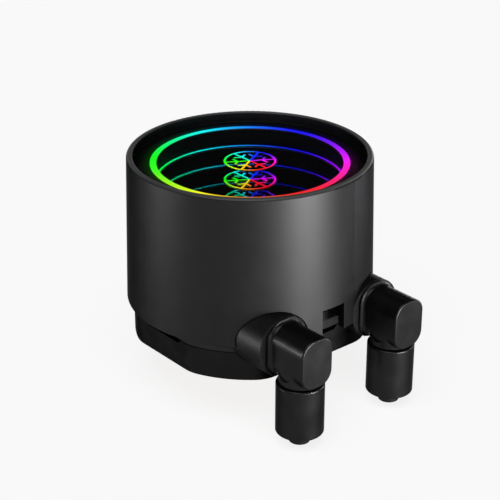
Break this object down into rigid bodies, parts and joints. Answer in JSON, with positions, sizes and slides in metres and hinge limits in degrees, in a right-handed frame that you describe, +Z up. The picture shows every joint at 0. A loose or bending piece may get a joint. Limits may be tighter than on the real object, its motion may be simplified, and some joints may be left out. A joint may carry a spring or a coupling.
{
  "type": "liquid cooler pump head",
  "caption": "Round pump head of a liquid cooler with a mirror lamp on top, two swivel hose elbows, a finned cold plate below and bracket slots in its base.",
  "frame": {"origin": "centre of the cold plate's contact face", "axes": "+Z up along the pump's axis through the lamp, -Y towards the two hose ports, +X to the right seen from the ports"},
  "size_m": [0.0723, 0.0844, 0.0682],
  "materials": {
    "base_plastic": "satin black glass-filled plastic",
    "copper": "lapped copper, machined face",
    "screw_steel": "blackened steel",
    "rubber": "matt rubber",
    "inner_plastic": "black moulded plastic",
    "ceramic": "ground ceramic",
    "laminations": "stacked silicon steel",
    "winding": "enamelled copper wire",
    "board": "black solder mask",
    "component": "moulded components",
    "mirror": "silvered",
    "lamp_chip": "lamp chips",
    "light_guide": "lit acrylic",
    "mask": "gloss black print",
    "front_glass": "half-mirror coated glass",
    "shell_metal": "fine satin charcoal",
    "fitting_plastic": "satin black moulding",
    "ferrule_metal": "satin black anodised",
    "impeller_plastic": "natural moulding",
    "magnet": "ferrite",
    "graphite": "graphite"
  },
  "bodies": {
    "housing": {"base_block": "base_plastic", "cold_plate": "copper", "plate_screws": "screw_steel", "plate_gasket": "rubber", "chamber_seal": "rubber", "jet_plate": "inner_plastic", "volute_plate": "inner_plastic", "pump_housing": "base_plastic", "pump_shaft": "ceramic", "thrust_washers": "ceramic", "stator_core": "laminations", "stator_coils": "winding", "control_board": "board", "board_components": "component", "mirror_carrier": "inner_plastic", "stack_screws": "screw_steel", "rear_mirror": "mirror", "led_board": "board", "led_chips": "lamp_chip", "light_guide": "light_guide", "mask_film": "mask", "front_glass": "front_glass", "centre_emblem": "light_guide", "outer_shell": "shell_metal", "body_screws": "screw_steel", "cable_grommet": "rubber"},
    "rotor": {"impeller": "impeller_plastic", "rotor_magnet": "magnet", "rotor_bush": "graphite"},
    "left_fitting": {"left_elbow": "fitting_plastic", "left_swivel_seal": "rubber", "left_snap_ring": "screw_steel", "left_ferrule": "ferrule_metal"},
    "right_fitting": {"right_elbow": "fitting_plastic", "right_swivel_seal": "rubber", "right_snap_ring": "screw_steel", "right_ferrule": "ferrule_metal"}
  },
  "joints": [
    {"name": "rotor_spin", "type": "hinge", "parent": "housing", "child": "rotor", "pos_m": [0, 0, 0.02], "axis": [0, 0, 1], "continuous": true},
    {"name": "left_swivel", "type": "hinge", "parent": "housing", "child": "left_fitting", "pos_m": [-0.0173, -0.03485, 0.014], "axis": [0, 1, 0], "range_deg": [-20, 180]},
    {"name": "right_swivel", "type": "hinge", "parent": "housing", "child": "right_fitting", "pos_m": [0.0173, -0.03485, 0.014], "axis": [0, -1, 0], "range_deg": [-20, 180]}
  ]
}
